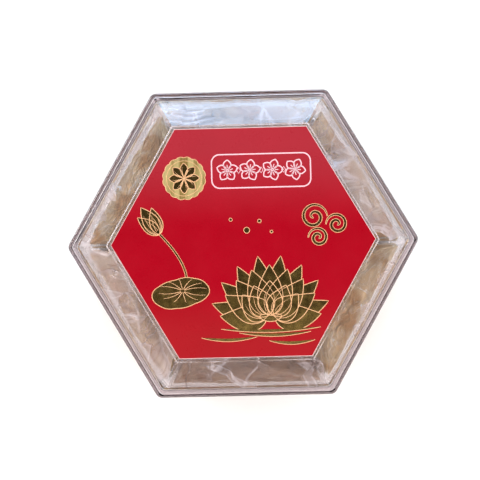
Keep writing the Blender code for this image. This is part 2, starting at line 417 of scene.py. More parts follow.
# %% Tray
TRAY_INRADIUS = OUTER_INRADIUS - WALL - FIT_GAP
TRAY_TOP = RIM_HEIGHT - WALL - FIT_GAP
TRAY_TAPER = 0.3 * MM
FOOT_EDGE = 0.8 * MM
FOOT_HEIGHT = 0.8 * MM
FOOT_RING_WIDTH = 7.2 * MM
FLOOR_TOP = FOOT_HEIGHT + WALL
FLOOR_FILLET = 1.4 * MM


def tray_corners():
    """The tray's section, from the middle of the floor over the wall to the underside."""
    foot = TRAY_INRADIUS - TRAY_TAPER
    ring_inner = foot - FOOT_EDGE - FOOT_RING_WIDTH
    corner = CORNER - WALL
    return [
        (foot - TRAY_WALL - FLOOR_FILLET - CAP_STEP, FLOOR_TOP, 0, corner * 0.8),
        (foot - TRAY_WALL, FLOOR_TOP, FLOOR_FILLET, corner * 0.8),
        (TRAY_INRADIUS - TRAY_WALL, TRAY_TOP, 0.15 * MM, corner),
        (TRAY_INRADIUS, TRAY_TOP, 0.15 * MM, corner),
        (foot, 0.0, FOOT_EDGE, corner),
        (ring_inner + FOOT_HEIGHT, 0.0, 0.3 * MM, corner),
        (ring_inner, FOOT_HEIGHT, 0.3 * MM, corner),
        (ring_inner - CAP_STEP, FOOT_HEIGHT, 0, corner),
    ]


tray = loft("clear_tray", rounded_profile(tray_corners()))
finish_piece(tray, TRAY_PLASTIC, "box_base", slot="clear_plastic")

# %% [markdown]
# ## Printed card
#
# The card is stiff paper, cut sharp, printed red to within a quarter of a millimetre of its
# edge and covered with a satin film. The red, the pale edge and the white lines are ink, so
# they have no height: the red top and the bare paper are two materials on one mesh.
#
# The ink isn't quite even, and the satin film over it shows the paper's grain as a faint
# bump. That keeps a large flat area from looking like a painted plane.

# %% Card
CARD_INRADIUS = 58.0 * MM
CARD_SHIFT = np.array([0.22, 0.08, 0.0]) * MM
PAPER_BORDER = 0.24 * MM
CARD_EDGE = 0.06 * MM
SHARP_CORNER = 0.15 * MM


def bare_paper():
    """The strip of unprinted paper along the edge, and the card's underside."""
    material, shader = new_material("bare_paper", Roughness=0.7)
    fibres = noise(material, place(material), 0.8 * MM, detail=4)
    tone = blend_colours(material, fibres, (0.66, 0.44, 0.42, 1), (0.84, 0.66, 0.64, 1))
    drive(material, shader, "Base Color", tone)
    bump(material, shader, fibres, 0.03 * MM)
    return material


def red_print():
    """Red ink under satin film, with a painted sheen towards the +Y end and warmer at the -Y
    end.
    """
    material, shader = new_material("red_print", IOR=1.22)
    where = place(material)
    uneven = noise(material, where, 26 * MM, detail=3)
    red = blend_colours(material, uneven, (0.28, 0.000, 0.006, 1), (0.345, 0.001, 0.010, 1))
    # Paler towards +Y: a painted sheen, the satin film's reflection painted into the red.
    across = node(material, "ShaderNodeSeparateXYZ", {0: where}).outputs["Y"]
    painted_sheen = remap(material, across, 5 * MM, 50 * MM, 0.0, 0.08, smooth=True)
    red = blend_colours(material, painted_sheen, red, (0.55, 0.25, 0.30, 1))
    warming = remap(material, across, -20 * MM, -50 * MM, 0.0, 0.035, smooth=True)
    red = blend_colours(material, warming, red, (0.55, 0.22, 0.14, 1))
    drive(material, shader, "Base Color", red)
    grain = noise(material, where, 0.7 * MM, detail=4, roughness=0.6)
    rubbed = noise(material, where, 14 * MM, detail=5, roughness=0.7)
    drive(material, shader, "Roughness", remap(material, rubbed, 0.3, 0.75, 0.24, 0.36))
    first = bump(material, shader, grain, 0.012 * MM)
    bump(material, shader, noise(material, where, 30 * MM, detail=1), 0.10 * MM, after=first)
    return material


card_profile = np.array(
    [
        (CARD_INRADIUS - PAPER_BORDER, CARD_TOP, SHARP_CORNER),
        (CARD_INRADIUS - CARD_EDGE, CARD_TOP, SHARP_CORNER),
        (CARD_INRADIUS, CARD_TOP - CARD_EDGE, SHARP_CORNER),
        (CARD_INRADIUS, CARD_UNDER, SHARP_CORNER),
        (CARD_INRADIUS - CAP_STEP, CARD_UNDER, SHARP_CORNER),
    ]
)
card = loft("printed_card", card_profile, CARD_SHIFT)
card.data.materials.append(bare_paper())
card.data.materials.append(red_print())
faces = len(card.data.polygons)
printed = np.zeros(faces, np.int32)
printed[faces - 2] = 1  # the cap of the first ring is the printed top
card.data.polygons.foreach_set("material_index", printed)
finish_piece(card, None, "label_card", slot="label_print")

# %% [markdown]
# ## Foil and ink on the card
#
# Hot-stamped foil is a mirror-bright layer a few hundredths of a millimetre thick, pressed
# into the card so that its rim catches the light as a fine bright line. Each shape here
# is a patch or a ribbon laid on the card: patches for the filled shapes, and ribbons with
# a low domed section for rims and veins. A texture could draw them too, but as meshes they
# keep their crisp edge at any distance and would turn up in an exported model.
#
# A patch is spanned by two parameters: one runs along its middle line, the other from one
# edge to the other.

# %% Patch and ribbon functions
FOIL = 0.03 * MM
LAYER = 0.003 * MM  # each later shape lies this much above the one before it
RIBBON_HEIGHT = 0.02 * MM
PRINT_UNDER = CARD_TOP + 0.004 * MM
THINNEST = 0.02  # half width in millimetres that a patch keeps at its tips
VEIN_SPAN = slice(3, 19)  # the part of a petal's middle line that has veins


class Print:
    """Gathers patches and ribbons, given in millimetres from the card's middle."""

    def __init__(self):
        """Starts empty. layer is how many layers up the next shape lies."""
        self.points, self.quads, self.ends, self.count, self.layer = [], [], [], 0, 0

    def add(self, flat, height, quads, ends=None):
        """Adds a grid of points and its faces, numbered on from the points before it."""
        self.points.append(np.concatenate([flat * MM, height[..., None]], -1).reshape(-1, 3))
        self.quads.append(quads + self.count)
        if ends is not None:
            self.ends.append(ends + self.count)
        self.count += flat.size // 2

    def patch(self, middle, side, half_width, across=5):
        """middle + side * half_width * v, for v from -1 to 1, with a rim down to the card."""
        v = np.linspace(-1, 1, across)
        flat = middle[:, None] + side[:, None] * half_width[:, None, None] * v[:, None]
        rows, columns = flat.shape[:2]
        top = grid_faces(rows, columns)
        index = np.arange(rows * columns).reshape(rows, columns)
        rim = [index[:, 0], index[-1, 1:], index[-2::-1, -1], index[0, -2:0:-1]]
        rim = np.concatenate(rim)
        after, under = np.roll(rim, -1), rows * columns
        walls = np.stack([rim, after, after + under, rim + under], -1)
        height = np.full((2, rows, columns), PRINT_UNDER)
        height[0] = CARD_TOP + FOIL + self.layer * LAYER
        faces = np.concatenate([top, top[:, ::-1] + under, walls])
        self.add(np.stack([flat, flat]), height, faces)

    def ribbon(self, line, half_width, closed=False):
        """A line with a low domed section, higher by RIBBON_HEIGHT along its middle."""
        line = np.asarray(line, float)
        if closed:
            heading = np.roll(line, -1, 0) - np.roll(line, 1, 0)
        else:
            heading = np.gradient(line, axis=0)
        heading /= np.maximum(np.hypot(*heading.T), 1e-9)[:, None]
        side = np.stack([-heading[:, 1], heading[:, 0]], -1)
        v = np.array([-1, -0.5, 0.5, 1, 1, -1])
        width = np.broadcast_to(half_width, len(line))[:, None, None]
        flat = line[:, None] + side[:, None] * width * v[:, None]
        top = CARD_TOP + FOIL + (self.layer + 1) * LAYER
        crown = top + RIBBON_HEIGHT
        height = np.array([top, crown, crown, top, PRINT_UNDER, PRINT_UNDER])
        rows, columns = flat.shape[:2]
        ring = np.arange(columns)
        ends = None if closed else np.stack([ring, (rows - 1) * columns + ring[::-1]])
        faces = grid_faces(rows, columns, close_rows=closed, close_columns=True)
        self.add(flat, np.broadcast_to(height, (rows, columns)), faces, ends)

    def object(self, name, material):
        """The gathered shapes as one object, with every closed shell facing outwards."""
        faces = [np.concatenate(self.quads)]
        if self.ends:
            faces.append(np.concatenate(self.ends))
        made = mesh_object(name, np.concatenate(self.points) + CARD_SHIFT, faces)
        shells = bmesh.new()
        shells.from_mesh(made.data)
        bmesh.ops.remove_doubles(shells, verts=shells.verts, dist=1e-9)
        bmesh.ops.recalc_face_normals(shells, faces=shells.faces)
        shells.to_mesh(made.data)
        shells.free()
        return finish_piece(made, material)


def right_of(line):
    """Unit vectors a quarter turn clockwise from the line's heading."""
    heading = np.gradient(line, axis=0)
    heading /= np.hypot(*heading.T)[:, None]
    return np.stack([heading[:, 1], -heading[:, 0]], -1)


def outline(middle, side, width):
    """The closed line round a patch: along one edge and back along the other."""
    left, right = middle - side * width[:, None], middle + side * width[:, None]
    return np.concatenate([left, right[-2:0:-1]])


def round_stations(points):
    """Places from -1 to 1, crowded at both ends as a round shape needs, and up for each."""
    across = np.cos(math.pi * (1 - np.linspace(0, 1, points)))
    return across, np.tile([0.0, 1.0], (points, 1))


def turned(points, degrees):
    """Points turned clockwise, so that 0 leaves +Y pointing up the card."""
    angle = math.radians(degrees)
    turn = np.array([[math.cos(angle), -math.sin(angle)], [math.sin(angle), math.cos(angle)]])
    return points @ turn


def petal_lines(base, degrees, length, half_width, bend=0.0, fullness=0.8, points=25):
    """Middle line, sideways direction and half width of a pointed petal.

    At share s of the length, the middle line is off by bend * s^2, and the half width is
    half_width * sin(pi * s^fullness)^0.9, which is blunt at the foot and sharp at the tip.
    """
    s = np.linspace(0, 1, points)
    middle = np.stack([bend * s * s, length * s], -1)
    width = half_width * np.maximum(np.sin(math.pi * s**fullness), 0.0) ** 0.9 + THINNEST
    return base + turned(middle, degrees), turned(right_of(middle), degrees), width


def petal(fills, lines, base, degrees, length, half_width, bend=0.0, fullness=0.8, veins=0):
    """A filled petal with its bright rim and, if asked, veins fanned across it."""
    middle, side, width = petal_lines(base, degrees, length, half_width, bend, fullness)
    fills.patch(middle, side, width)
    lines.layer = fills.layer
    lines.ribbon(outline(middle, side, width), RIM_LINE, closed=True)
    for share in np.linspace(-0.5, 0.5, veins):
        vein = (middle + side * width[:, None] * share)[VEIN_SPAN]
        lines.ribbon(vein, VEIN_LINE * np.linspace(1, 0.3, len(vein)))
    fills.layer += 1


print("patch and ribbon helpers ready")

# %% [markdown]
# ## The motif
#
# A lotus in bloom over ripples, a round leaf, a bud on its stem, a cloud scroll and a
# rosette are traditional figures for a gift box. Each is a loop over one petal or one
# spiral. The dark foil and its bright rims are two objects, because they are two finishes;
# the white-pink blossoms in their rounded frame are ink, the third.

# %% Motif
RIM_LINE = 0.19
VEIN_LINE = 0.13
LOTUS_FOOT = np.array([13.0, -38.0])
LEAF_MIDDLE = np.array([-32.0, -25.0])
ROSETTE_MIDDLE = np.array([-29.0, 33.0])
PANEL_MIDDLE = np.array([10.0, 36.0])
PANEL_SIZE = np.array([50.0, 17.0])

foil_fills, foil_lines, bright_fills, ink = Print(), Print(), Print(), Print()


def draw_lotus():
    """Three fans of petals, the longest behind, then the cup that they stand in."""
    for angles, length, half_width, veins in (
        ((-84, 84, -60, 60, -36, 36, -12, 12), 31.0, 5.8, 0),
        ((-98, 98, -72, 72, -48, 48, -24, 24, 0), 25.5, 6.4, 0),
        ((-62, 62, -33, 33, 0), 17.5, 6.2, 1),
    ):
        for degrees in angles:
            lean = math.radians(degrees)
            foot = LOTUS_FOOT + np.array([2.0 * math.sin(lean), 0.8 * math.cos(lean)])
            shorter = 1 - 0.10 * abs(math.sin(lean))
            bend = 4.5 * math.sin(lean)
            petal(foil_fills, foil_lines, foot, degrees, length * shorter, half_width,
                  -bend, 0.72, veins=veins)
    across, side = round_stations(25)
    middle = LOTUS_FOOT + np.stack([5.5 * across, 0.7 * across**2 - 0.3], -1)
    width = 1.9 * np.sqrt(np.maximum(1 - across**2, 0)) + THINNEST
    foil_fills.patch(middle, side, width)
    foil_lines.layer = foil_fills.layer
    foil_lines.ribbon(outline(middle, side, width), RIM_LINE, closed=True)
    foil_fills.layer += 1


def draw_ripples():
    """Long lens-shaped streaks under the bloom, each a patch with a bright lower rim."""
    for row, (left, right) in enumerate(((-12, 38), (-3, 33), (-22, 6), (12, 35))):
        s = np.linspace(0, 1, 25)
        drop = -43.5 - 2.1 * row
        middle = np.stack([left + (right - left) * s, drop - 1.4 * np.sin(math.pi * s)], -1)
        side = np.tile([0.0, 1.0], (len(s), 1))
        width = 0.75 * np.sin(math.pi * s) ** 0.7 + THINNEST
        foil_fills.patch(middle, side, width, across=3)
        foil_lines.layer = foil_fills.layer
        foil_lines.ribbon(middle - side * width[:, None], RIM_LINE * 0.8)


def draw_leaf():
    """A round leaf seen from the side: an ellipse with a scalloped rim and fanned veins."""
    across, side = round_stations(61)
    middle = LEAF_MIDDLE + np.stack([14.5 * across, 1.2 * np.sin(2 * across)], -1)
    scallop = 1 + 0.05 * np.abs(np.sin(4.5 * math.pi * np.linspace(0, 1, 61)))
    width = 7.2 * np.sqrt(np.maximum(1 - across**2, 0)) * scallop + THINNEST
    foil_fills.layer += 1
    foil_fills.patch(middle, side, width)
    foil_lines.layer = foil_fills.layer
    foil_lines.ribbon(outline(middle, side, width), RIM_LINE, closed=True)
    hub = LEAF_MIDDLE + np.array([1.0, 1.2])
    for turn in np.arange(0, 360, 30):
        angle = math.radians(turn + 8)
        tip = np.array([12.8 * math.cos(angle), 6.0 * math.sin(angle)])
        run = np.linspace(0.08, 0.95, 12)[:, None]
        sag = np.array([0.0, 0.9]) * (run * (1 - run)) * np.sign(math.sin(angle))
        foil_lines.ribbon(hub + tip * run + sag * 4, VEIN_LINE * np.linspace(1.2, 0.5, 12))


def draw_bud():
    """A stem that leans out from behind the leaf, ending in a closed bud."""
    s = np.linspace(0, 1, 30)
    stem = np.stack([-29 - 13 * s**1.6, -17 + 22 * s], -1)
    side = right_of(stem)
    foil_fills.patch(stem, side, np.full(len(s), 0.5), across=3)
    for share in (-1, 1):
        foil_lines.ribbon(stem + side * 0.5 * share, RIM_LINE * 0.6)
    foil_fills.layer += 1
    for degrees, length, half_width in ((-52, 14, 3.2), (-16, 14, 3.2), (-34, 16.5, 4.0)):
        petal(foil_fills, foil_lines, stem[-1], degrees, length, half_width, 0.0, 0.75,
              veins=2)


def draw_clouds():
    """Scrolls of a cloud: spirals whose radius falls from size to 0.3 as they turn in."""
    turn = np.linspace(0, 3.3 * math.pi, 70)
    width = 0.75 * np.sin(math.pi * np.linspace(0.02, 0.98, 70)) ** 0.5
    for x, y, size, flip in ((36, 12.0, 6.5, 1), (47.5, 8.0, 5.2, -1), (38.0, 1.5, 4.8, -1)):
        radius = size * (1 - turn / (3.3 * math.pi)) ** 0.8 + 0.3
        scroll = np.stack([x + flip * radius * np.cos(turn), y + radius * np.sin(turn)], -1)
        side = -right_of(scroll)
        foil_fills.patch(scroll, side, width, across=3)
        foil_lines.layer = foil_fills.layer
        foil_lines.ribbon(scroll + side * width[:, None], RIM_LINE * 0.7)
        foil_lines.ribbon(scroll - side * width[:, None], RIM_LINE * 0.7)
        foil_fills.layer += 1


def draw_pearls():
    """A few drops above the bloom, each given by its middle and its radius."""
    turn = np.linspace(0, 2 * math.pi, 24, endpoint=False)
    across, side = round_stations(19)
    for x, y, radius in ((2, 6, 1.5), (8.5, 10.5, 0.9), (-6, 11.5, 0.8), (14.5, 5, 0.7)):
        middle = np.stack([x + radius * across, np.full(len(across), float(y))], -1)
        width = radius * np.sqrt(np.maximum(1 - across**2, 0)) + 0.01
        foil_fills.patch(middle, side, width, across=3)
        foil_lines.layer = foil_fills.layer
        ring = np.stack([x + radius * np.cos(turn), y + radius * np.sin(turn)], -1)
        foil_lines.ribbon(ring, RIM_LINE * 0.8, closed=True)


def draw_rosette():
    """A brushed medallion with a scalloped edge, and a flower of dark petals on it."""
    half_turn = 96
    turn = np.linspace(0, math.tau, 2 * half_turn + 1)[:-1]
    circle = np.stack([np.cos(turn), np.sin(turn)], -1)
    rim = 10.4 + 0.55 * np.abs(np.sin(8 * turn))
    edge = ROSETTE_MIDDLE + rim[:, None] * circle
    upper, lower = edge[half_turn::-1], np.concatenate([edge[half_turn:], edge[:1]])
    middle, half = (upper + lower) / 2, (upper - lower)[:, 1] / 2
    side = np.tile([0.0, 1.0], (len(middle), 1))
    bright_fills.patch(middle, side, np.maximum(half, 0.0) + 0.01, across=9)
    foil_lines.layer = bright_fills.layer
    foil_lines.ribbon(edge, RIM_LINE * 0.8, closed=True)
    foil_lines.ribbon(ROSETTE_MIDDLE + 8.9 * circle, RIM_LINE * 0.6, closed=True)
    foil_fills.layer = 2
    for step in range(8):
        petal(foil_fills, foil_lines, ROSETTE_MIDDLE, 45 * step, 7.8, 1.9, 0.0, 1.35,
              veins=1)


def draw_panel():
    """A frame with round corners, four blossoms in it, and a diamond between each two."""
    half, radius = PANEL_SIZE / 2, 4.0
    turn = np.linspace(0, math.pi / 2, 9)
    arcs = []
    for step, (sx, sy) in enumerate(((1, 1), (-1, 1), (-1, -1), (1, -1))):
        centre = PANEL_MIDDLE + np.array([sx, sy]) * (half - radius)
        angle = turn + step * math.pi / 2
        arcs.append(centre + radius * np.stack([np.cos(angle), np.sin(angle)], -1))
    ink.ribbon(np.concatenate(arcs), 0.32, closed=True)
    spacing = 11.4
    stamen = np.array([[0.0, 1.3], [0.0, 3.0]])
    for step in range(4):
        middle = PANEL_MIDDLE + np.array([(step - 1.5) * spacing, 0.3])
        for turn in range(5):
            degrees = 72 * turn + 9 * step
            lines = petal_lines(middle, degrees, 5.4, 1.9, 0.0, 1.25, 21)
            ink.ribbon(outline(*lines)[2:-1], 0.3, closed=True)
            ink.ribbon(middle + turned(stamen, degrees), 0.2)
    diamond = np.array([[0.0, 1.5], [1.0, 0.0], [0.0, -1.5], [-1.0, 0.0]])
    for step in range(3):
        middle = PANEL_MIDDLE + np.array([(step - 1) * spacing, 0.3])
        ink.ribbon(middle + diamond, 0.18, closed=True)


draw_lotus()
draw_ripples()
draw_leaf()
draw_bud()
draw_clouds()
draw_pearls()
draw_rosette()
draw_panel()
print("foil shapes:", foil_fills.layer, "layers,", foil_lines.count, "points in the rims")


# %% [markdown]
# Foil is a metal mirror, so it is as dark as what it mirrors. It lies flat and mirrors the
# dim middle of the ceiling. Its rims are bent paper under the foil and mirror the brighter
# room all round, so they are rougher, and their gold is painted paler too, as a painted
# highlight. The rosette's foil is brushed, in stripes.

# %% Foil and ink materials
def mirror_foil():
    """Dark gold mirror, a little mottled, and worn rougher towards the -Y end."""
    material, shader = new_material("dark_foil", Metallic=1.0)
    where = place(material)
    mottle = noise(material, where, 5 * MM, detail=6, roughness=0.7)
    gold = blend_colours(material, mottle, (0.54, 0.36, 0.10, 1), (0.74, 0.49, 0.15, 1))
    drive(material, shader, "Base Color", gold)
    across = node(material, "ShaderNodeSeparateXYZ", {0: where}).outputs["Y"]
    worn = remap(material, across, -50 * MM, -22 * MM, 0.07, 0.0)
    rough = remap(material, mottle, 0.3, 0.7, 0.10, 0.22)
    drive(material, shader, "Roughness", calculate(material, "ADD", rough, worn))
    bump(material, shader, noise(material, where, 7 * MM, detail=4), 0.06 * MM)
    return material


def rim_foil_painted_highlight():
    """The rough edge where the stamp bent the paper under the foil, with a painted highlight:
    its gold is paler than the flat foil's.
    """
    material, shader = new_material("foil_rim", Metallic=1.0, Roughness=0.5)
    mottle = noise(material, place(material), 2 * MM, detail=3)
    # Paler gold than the flat foil: a painted highlight along the rims.
    gold = blend_colours(material, mottle, (0.80, 0.42, 0.20, 1), (0.98, 0.62, 0.36, 1))
    drive(material, shader, "Base Color", gold)
    return material


def brushed_foil():
    """Pale gold in soft stripes up and down the card, from noise stretched along Y."""
    material, shader = new_material("brushed_foil", Metallic=0.85, Roughness=0.42)
    where = place(material)
    squeeze = {"Vector": where, "Scale": (1.0, 0.06, 1.0)}
    stretched = node(material, "ShaderNodeMapping", squeeze)
    stripes = noise(material, stretched.outputs["Vector"], 3 * MM, detail=2)
    stripe = remap(material, stripes, 0.35, 0.65, smooth=True)
    gold = blend_colours(material, stripe, (0.30, 0.19, 0.05, 1), (0.66, 0.52, 0.22, 1))
    drive(material, shader, "Base Color", gold)
    return material


def pale_ink():
    """Pink-white ink that lets a little of the red through, unevenly."""
    material, shader = new_material("pale_ink", Roughness=0.4)
    mottle = noise(material, place(material), 1.2 * MM, detail=4)
    tone = blend_colours(material, mottle, (0.72, 0.42, 0.46, 1), (0.84, 0.58, 0.62, 1))
    drive(material, shader, "Base Color", tone)
    return material


foil_fills.object("foil_motif", mirror_foil())
foil_lines.object("foil_rims", rim_foil_painted_highlight())
bright_fills.object("foil_rosette", brushed_foil())
ink.object("ink_blossoms", pale_ink())

# %% [markdown]
# ## Nests
#
# A swiftlet glues its nest to a rock wall from strands of its own dried saliva. It is half
# a cup: a straight back where it met the wall, and a bowl woven of hundreds of translucent
# strands, a fifth to half a millimetre thick. In the box it lies mouth down.
#
# The body is one surface of two parameters: an angle that runs over the cup from its back
# foot across the crest to the front foot, and a place along its length. The strands lie on
# that surface. A strand is a path of steps in the two parameters, whose heading turns and
# waves as it goes, so it hugs the cup however the cup curves. Hair curves would be lighter,
# but they are lost in an export, so each strand is a three-sided tube.

# %% The cup's surface
NEST_LENGTH = 78.0 * MM
NEST_DEPTH = 33.0 * MM
NEST_HEIGHT = 34.4 * MM
NEST_THICKNESS = 9.0 * MM
NEST_FOOT = 4.0 * MM
NEST_TUCK = 2.4 * MM
NEST_RIDGE = 0.85 * MM
NEST_RIDGES = 10
NEST_BACK_CURVE = 1.2 * MM
NEST_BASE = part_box("nest_1")[0].z
NEST_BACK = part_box("nest_1")[1].y + 2.5 * MM
STRAND_BED = 0.7 * MM  # how far the body lies under the solid's surface, for the strands
STRAND_LIFT = 0.4 * MM  # how far the body lies under the strands laid on it
PHASES = (0.4, 1.9, 3.1, 4.4, 5.2, 0.9)
AGES_AND_SHADE = (0.10, 0.0, 0.0, 0.70, 0.0, 0.05)  # browner by this share; the -Y nest's 0.70 is painted shade
print(f"nest back {NEST_BACK / MM:.2f} mm out, foot {NEST_BASE / MM:.2f} mm up")


def cup(angle, along, phase, outside=True, inset=STRAND_BED):
    """Points of a cup lying mouth down: x along the side, y outwards, z up.

    With k = 1 - |along|^3 for the plan and t = sqrt(1 - |along|^2.6) for the taper, a
    section reaches (half depth * k + swell) * c outwards and (height + swell) * r up. In
    front, c = cos(angle)^0.95 and r = sin(angle)^0.6. The back stood against the rock, so
    it is squarer: cos and sin, each divided by (cos^5 + sin^5)^(1/5). The swell is a
    ripple along the cup, and the tuck pulls the foot in.
    """
    taper = np.sqrt(np.maximum(0.0, 1 - np.abs(along) ** 2.6))
    plan = 1 - np.abs(along) ** 3
    half_depth = NEST_DEPTH / 2 * plan
    height = NEST_HEIGHT * (0.25 * taper**0.4 + 0.75 * taper)
    middle = NEST_BACK - NEST_BACK_CURVE * along * along - NEST_DEPTH / 2 * plan
    if outside:
        ripple = np.sin(NEST_RIDGES * angle + phase + 2.2 * along)
        lumps = np.sin(5.0 * along + 2.0 * phase) * np.sin(2.0 * angle + phase)
        fine = np.sin(31 * angle + 7 * along + 2 * np.sin(9 * along + phase))
        fine = fine * np.sin(23 * along + 5 * angle + phase)
        grow = (NEST_RIDGE * (0.7 * ripple + 0.6 * lumps - 1.3) - inset) * taper
        grow = grow + 0.25 * MM * fine * taper
    else:
        wall = np.minimum(NEST_THICKNESS * (0.4 + 0.6 * taper), 0.6 * half_depth)
        weave = np.sin(17 * angle + 4 * along) * np.sin(29 * along + phase)
        grow = -wall + (0.3 * MM * weave + inset) * taper
    sideways, upwards = np.cos(angle), np.maximum(0.0, np.sin(angle))
    behind = sideways > 0
    grow = grow + (0.9 * MM * behind * np.clip(3 * sideways, 0, 1) if outside else 0.0)
    square = (np.abs(sideways) ** 5 + upwards**5) ** 0.2
    out = np.where(behind, np.abs(sideways) / square, np.abs(sideways) ** 0.95)
    reach = (half_depth + grow) * np.sign(sideways) * out
    rise = np.maximum(0.0, height + grow) * np.where(behind, upwards / square, upwards**0.6)
    tuck = NEST_TUCK * plan * np.maximum(0.0, 1 - rise / NEST_FOOT) if outside else 0.0
    y = middle + reach - np.sign(sideways) * tuck
    x = along * NEST_LENGTH / 2
    return np.stack(np.broadcast_arrays(x, y, NEST_BASE + rise), -1)


def turned_to_side(points, number):
    """Turns points made for the +Y side to side number, counting counter-clockwise."""
    angle = (number - 1) * SIDE_ANGLE
    turn = np.eye(3)
    turn[:2, :2] = [[math.cos(angle), math.sin(angle)], [-math.sin(angle), math.cos(angle)]]
    return points @ turn


def nest_body(phase, out_points, in_points, along_points):
    """The closed body: sections over the outside and back along the inside, tip to tip."""
    angle_out = np.linspace(0, math.pi, out_points)
    angle_in = np.linspace(math.pi, 0, in_points)
    share = np.linspace(-1, 1, along_points)[1:-1]
    along = np.sin(share * math.pi / 2)[:, None]
    outer = cup(angle_out[None, :], along, phase, inset=STRAND_BED + STRAND_LIFT)
    inner = cup(angle_in[None, :], along, phase, outside=False)
    rings = np.concatenate([outer, inner], 1)
    rows, columns = rings.shape[:2]
    tips = np.stack([rings[0].mean(0), rings[-1].mean(0)])
    tips[:, 0] = [-NEST_LENGTH / 2, NEST_LENGTH / 2]
    points = np.concatenate([rings.reshape(-1, 3), tips])
    ring, after = np.arange(columns), (np.arange(columns) + 1) % columns
    last = (rows - 1) * columns
    first_fan = np.stack([ring, after, np.full(columns, rows * columns)], -1)
    last_fan = np.stack([last + after, last + ring, np.full(columns, rows * columns + 1)], -1)
    sides = grid_faces(rows, columns, close_columns=True)
    return points, sides, np.concatenate([first_fan, last_fan])


# %% Strands
STRAND_STEPS = 9
STRAND_SIDES = 3
BUNDLE = 4


def strand_paths(count, phase, rng, outside=True, loose=0.0):
    """Bundles of strands laid on the cup: paths as (strand, step, xyz), normals and tones.

    Most bundles keep within about 25 degrees of the cup's length, and the rest cross it.
    The heading turns steadily along a bundle, with one wave on top, and its strands stray
    a little. In the middle a strand arches off the cup by up to a millimetre. Loose
    strands cross, curl and arch more. Few bundles are pale, so the pale ones stand out.
    """
    bundle = np.arange(count) // BUNDLE
    bundles = (bundle[-1] + 1, 1)
    s = np.linspace(0, 1, STRAND_STEPS)
    crossing = rng.random(bundles) < 0.42 + 0.4 * loose
    heading = np.where(crossing, rng.normal(0, 1.2, bundles), rng.normal(0, 0.42, bundles))
    flip = np.where(rng.random(bundles) < 0.5, math.pi, 0.0)
    turn = rng.normal(0, 1.1 + 1.3 * loose, bundles)
    wave = rng.normal(0, 0.5 + 0.3 * loose, bundles)
    start = rng.uniform(0, 2 * math.pi, bundles)
    rounds = rng.uniform(0.6, 2.0, bundles)
    length = rng.uniform(9, 28, bundles) * MM * np.where(crossing, 0.7, 1.0)
    direction = heading + flip + turn * (s - 0.5) + wave * np.sin(start + rounds * math.tau * s)
    direction = direction[bundle] + rng.normal(0, 0.10, (count, 1))
    step = length[bundle] * rng.uniform(0.75, 1.0, (count, 1)) / (STRAND_STEPS - 1)
    along_moves = np.cumsum(np.cos(direction) * step, 1) / (NEST_LENGTH / 2)
    angle_moves = np.cumsum(np.sin(direction) * step, 1) / (0.5 * NEST_HEIGHT)
    middle = STRAND_STEPS // 2
    along = np.sin(rng.uniform(-1.45, 1.45, bundles))[bundle] * 0.97
    along = along + rng.normal(0, 0.35 * MM, (count, 1)) / (NEST_LENGTH / 2)
    along = along + along_moves - along_moves[:, middle : middle + 1]
    angle = rng.uniform(0.04, 0.96, bundles)[bundle] * math.pi
    angle = angle + rng.normal(0, 0.35 * MM, (count, 1)) / (0.5 * NEST_HEIGHT)
    angle = angle + angle_moves - angle_moves[:, middle : middle + 1]
    along = np.clip(along, -0.975, 0.975)
    angle = np.clip(angle, 0.02 * math.pi, 0.98 * math.pi)
    nudge = 0.02
    points = cup(angle, along, phase, outside)
    over = cup(angle + nudge, along, phase, outside) - cup(angle - nudge, along, phase, outside)
    onward = cup(angle, along + nudge, phase, outside)
    onward = onward - cup(angle, along - nudge, phase, outside)
    normal = np.cross(onward, over) if outside else np.cross(over, onward)
    normal /= np.maximum(np.linalg.norm(normal, axis=-1, keepdims=True), 1e-12)
    pale = rng.random(bundles) ** 1.8
    low = (0.35 * rng.random(bundles) + 0.35 * pale)[bundle]
    low = low + rng.uniform(-0.05, 0.1, (count, 1))
    arch = np.minimum(rng.exponential(0.32 + 0.5 * loose, bundles), 1.0 + 0.8 * loose)[bundle]
    lift = (low + 0.3 * loose + arch * (1 - (2 * s - 1) ** 2)) * MM
    tone = np.clip(pale[bundle, 0] + rng.uniform(-0.08, 0.08, count), 0, 1)
    return points + normal * lift[..., None], normal, tone


def strand_tubes(paths, normals, radius):
    """Three-sided tubes along paths, thinner at both ends, each closed by two triangles."""
    count, steps = paths.shape[:2]
    heading = np.gradient(paths, axis=1)
    heading /= np.maximum(np.linalg.norm(heading, axis=-1, keepdims=True), 1e-12)
    side = np.cross(heading, normals)
    side /= np.maximum(np.linalg.norm(side, axis=-1, keepdims=True), 1e-12)
    up = np.cross(side, heading)
    around = np.arange(STRAND_SIDES) * math.tau / STRAND_SIDES + math.pi / 2
    s = np.linspace(0, 1, steps)
    taper = 0.35 + 0.65 * np.sin(math.pi * s) ** 0.5
    size = (radius * taper)[..., None, None]
    ring = np.cos(around)[:, None] * side[:, :, None] + np.sin(around)[:, None] * up[:, :, None]
    points = (paths[:, :, None] + ring * size).reshape(-1, 3)
    one = grid_faces(steps, STRAND_SIDES, close_columns=True)
    first = np.arange(count)[:, None, None] * steps * STRAND_SIDES
    quads = (one[None] + first).reshape(-1, 4)[:, ::-1]
    last = (steps - 1) * STRAND_SIDES
    ends = np.array([[0, 1, 2], [last + 2, last + 1, last]])
    caps = (ends[None] + first).reshape(-1, 3)[:, ::-1]
    return points, quads, caps


